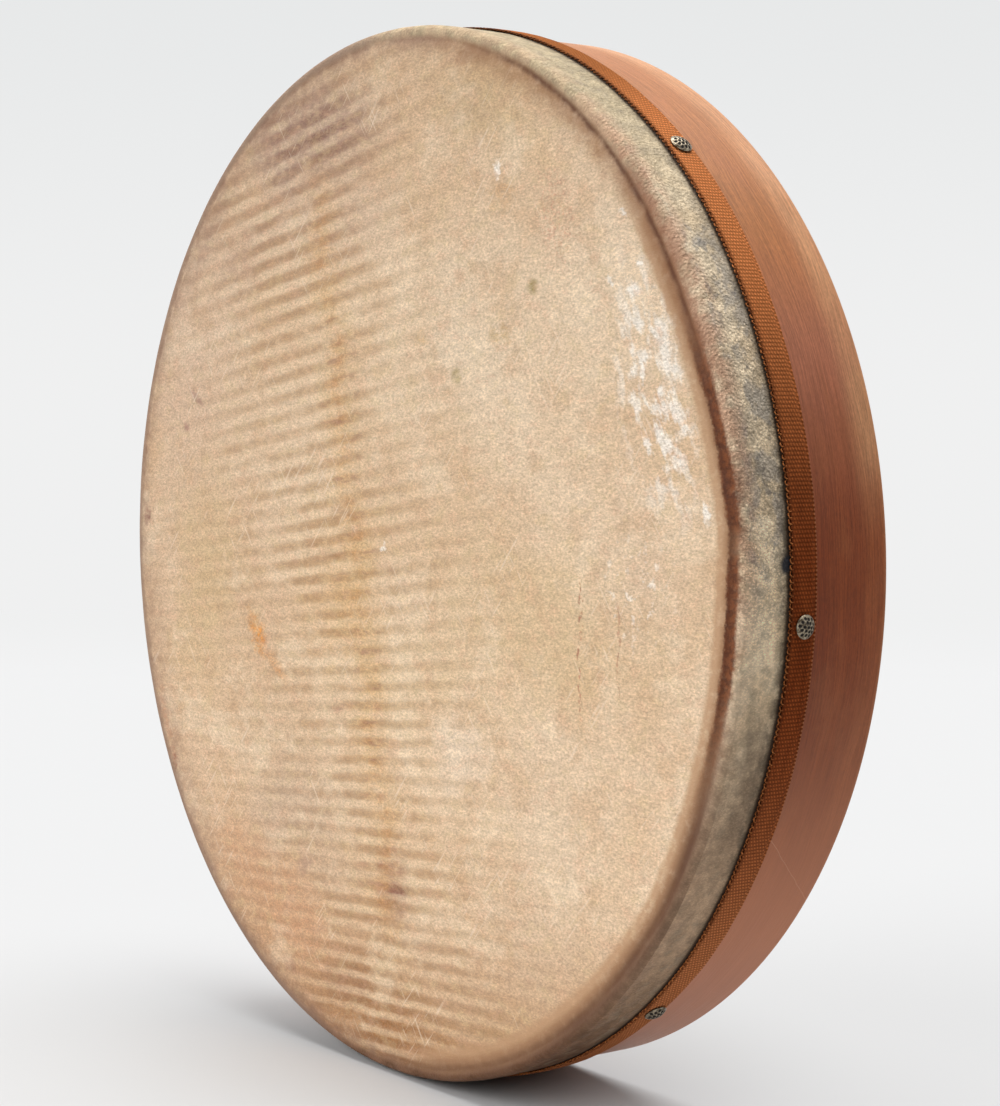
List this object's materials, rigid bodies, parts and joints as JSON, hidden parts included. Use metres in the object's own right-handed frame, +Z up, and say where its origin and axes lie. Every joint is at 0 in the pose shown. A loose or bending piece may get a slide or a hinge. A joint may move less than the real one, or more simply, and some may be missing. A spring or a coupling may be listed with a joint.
{
  "type": "bendir frame drum",
  "caption": "Hand-held frame drum: a goatskin head on a bent-wood hoop, edged with tacked tape, with gut snares inside and a thumb hole.",
  "frame": {"origin": "at floor level below the middle of the drum, which stands on its rim with its axis level", "axes": "+Z up, Y along the drum's axis: the head faces -Y and the open back +Y; +X is to the right seen from the head"},
  "size_m": [0.4056, 0.067, 0.404],
  "materials": {
    "stained_wood": "red-brown stain, satin",
    "goatskin": "natural, matt, mottled",
    "woven_tape": "ribbed weave, matt",
    "antique_bronze": "darkened, pitted",
    "gut": "twisted gut, waxy",
    "peg_wood": "plain, unstained"
  },
  "bodies": {
    "root": {"frame_hoop": "stained_wood", "skin_head": "goatskin", "edge_tape": "woven_tape", "tack_1": "antique_bronze", "tack_2": "antique_bronze", "tack_3": "antique_bronze", "tack_4": "antique_bronze", "tack_5": "antique_bronze", "tack_6": "antique_bronze", "tack_7": "antique_bronze", "snare_1": "gut", "snare_2": "gut", "snare_3": "gut", "snare_peg_1": "peg_wood", "snare_peg_2": "peg_wood", "snare_peg_3": "peg_wood", "snare_peg_4": "peg_wood", "snare_peg_5": "peg_wood", "snare_peg_6": "peg_wood"}
  },
  "joints": []
}
